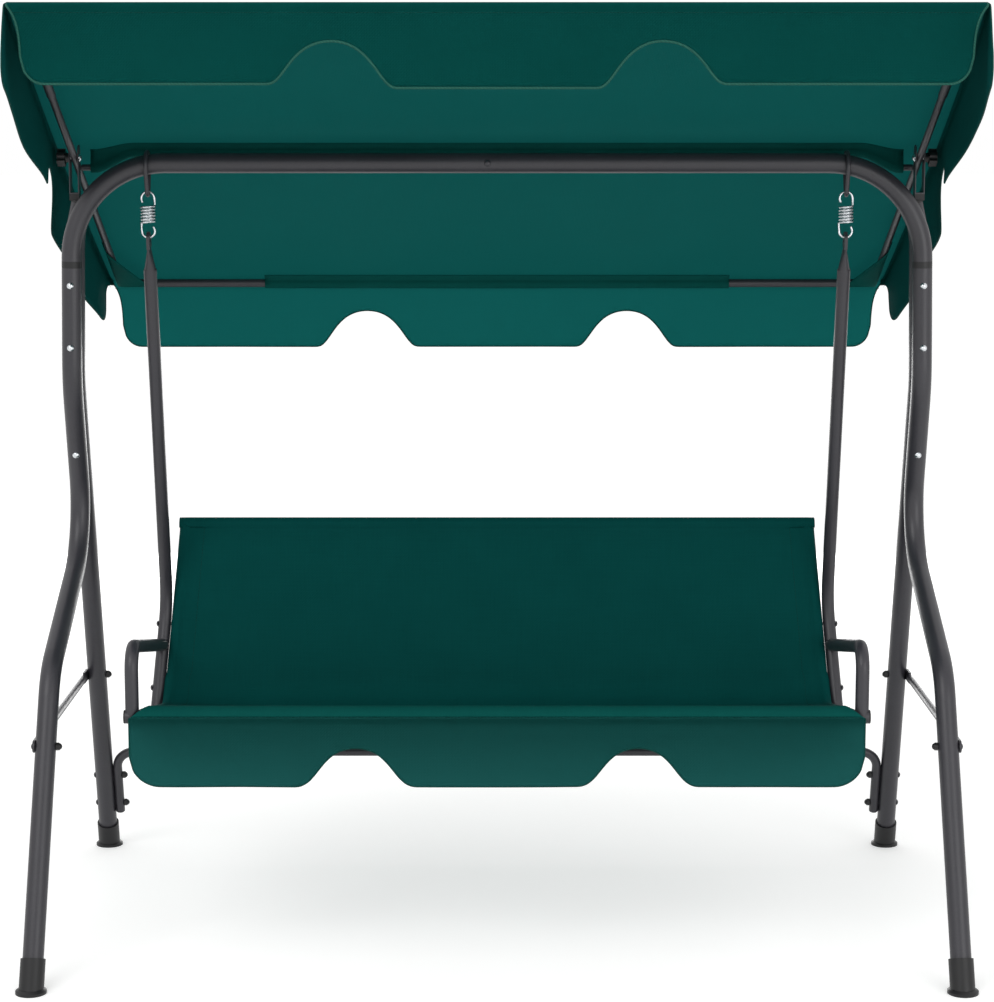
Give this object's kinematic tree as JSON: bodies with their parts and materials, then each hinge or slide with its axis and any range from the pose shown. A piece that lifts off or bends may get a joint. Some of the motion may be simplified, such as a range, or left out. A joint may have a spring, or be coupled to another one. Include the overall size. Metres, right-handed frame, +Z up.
{
  "type": "garden swing seat",
  "caption": "Garden swing seat with a bent steel tube frame, a sling seat on springs, and a tilting cloth canopy with notched valances.",
  "frame": {"origin": "on the floor, under the middle of the whole object's box", "axes": "+Z up, -Y to the front of the seat, +X to the seat's right seen from the front"},
  "size_m": [1.72, 1.1814, 1.7402],
  "materials": {
    "powder_coat": "charcoal powder coat, satin",
    "zinc": "bright zinc plating",
    "black_plastic": "black, fine grain",
    "canopy_cloth": "dark green woven polyester",
    "seat_cloth": "dark green woven polyester, doubled"
  },
  "bodies": {
    "frame": {"front_leg_left": "powder_coat", "front_leg_right": "powder_coat", "rear_leg_left": "powder_coat", "rear_leg_right": "powder_coat", "front_foot_cap_left": "black_plastic", "front_foot_cap_right": "black_plastic", "rear_foot_cap_left": "black_plastic", "rear_foot_cap_right": "black_plastic", "top_bar_left": "powder_coat", "top_bar_right": "powder_coat", "side_brace_left": "powder_coat", "side_brace_right": "powder_coat", "canopy_fork_left": "powder_coat", "canopy_fork_right": "powder_coat", "pivot_bolt_left": "zinc", "pivot_bolt_right": "zinc", "top_bar_sleeve": "zinc", "top_bar_screw": "powder_coat", "leg_collars": "black_plastic", "leg_screws": "zinc", "leg_nuts": "zinc", "brace_bolts": "zinc", "brace_cap_nuts": "black_plastic", "rear_cross_bar": "powder_coat", "cross_bar_bolts": "zinc", "cross_bar_cap_nuts": "black_plastic", "post_caps": "black_plastic"},
    "suspension": {"hanging_link_left": "powder_coat", "hanging_link_right": "powder_coat", "spring_left": "zinc", "spring_right": "zinc"},
    "seat": {"hanger_left": "powder_coat", "hanger_right": "powder_coat", "armrest_left": "powder_coat", "armrest_right": "powder_coat", "seat_rail_left": "powder_coat", "seat_rail_right": "powder_coat", "seat_front_bar": "powder_coat", "back_top_bar": "powder_coat", "seat_rear_bar": "powder_coat", "seat_end_plugs": "black_plastic", "hanger_bolts": "zinc", "hanger_cap_nuts": "black_plastic", "seat_sling": "seat_cloth", "seat_valance": "seat_cloth"},
    "canopy": {"canopy_rail_left": "powder_coat", "canopy_rail_right": "powder_coat", "canopy_side_valance_left": "canopy_cloth", "canopy_side_valance_right": "canopy_cloth", "canopy_front_bar": "powder_coat", "canopy_rear_bar": "powder_coat", "canopy_middle_rib": "powder_coat", "canopy_top": "canopy_cloth", "canopy_front_valance": "canopy_cloth", "canopy_rear_valance": "canopy_cloth", "canopy_corner_pockets": "canopy_cloth", "canopy_rear_sleeve": "canopy_cloth"},
    "knob_left": {"canopy_knob_left": "black_plastic"},
    "knob_right": {"canopy_knob_right": "black_plastic"}
  },
  "joints": [
    {"name": "seat_swing", "type": "hinge", "parent": "frame", "child": "suspension", "pos_m": [0, -0.04834, 1.4606], "axis": [1, 0, 0], "range_deg": [-20, 20]},
    {"name": "seat_bounce", "type": "slide", "parent": "suspension", "child": "seat", "axis": [0, 0, 1], "range_m": [-0.03, 0], "stiffness_N_per_m": 6000, "springref_m": 0.02, "deforming": ["spring_left", "spring_right"]},
    {"name": "canopy_tilt", "type": "hinge", "parent": "frame", "child": "canopy", "pos_m": [0, -0.01014, 1.47], "axis": [1, 0, 0], "range_deg": [-8, 40]},
    {"name": "knob_turn_left", "type": "hinge", "parent": "frame", "child": "knob_left", "pos_m": [-0.82, -0.01014, 1.47], "axis": [-1, 0, 0], "continuous": true},
    {"name": "knob_turn_right", "type": "hinge", "parent": "frame", "child": "knob_right", "pos_m": [0.82, -0.01014, 1.47], "axis": [1, 0, 0], "continuous": true}
  ]
}
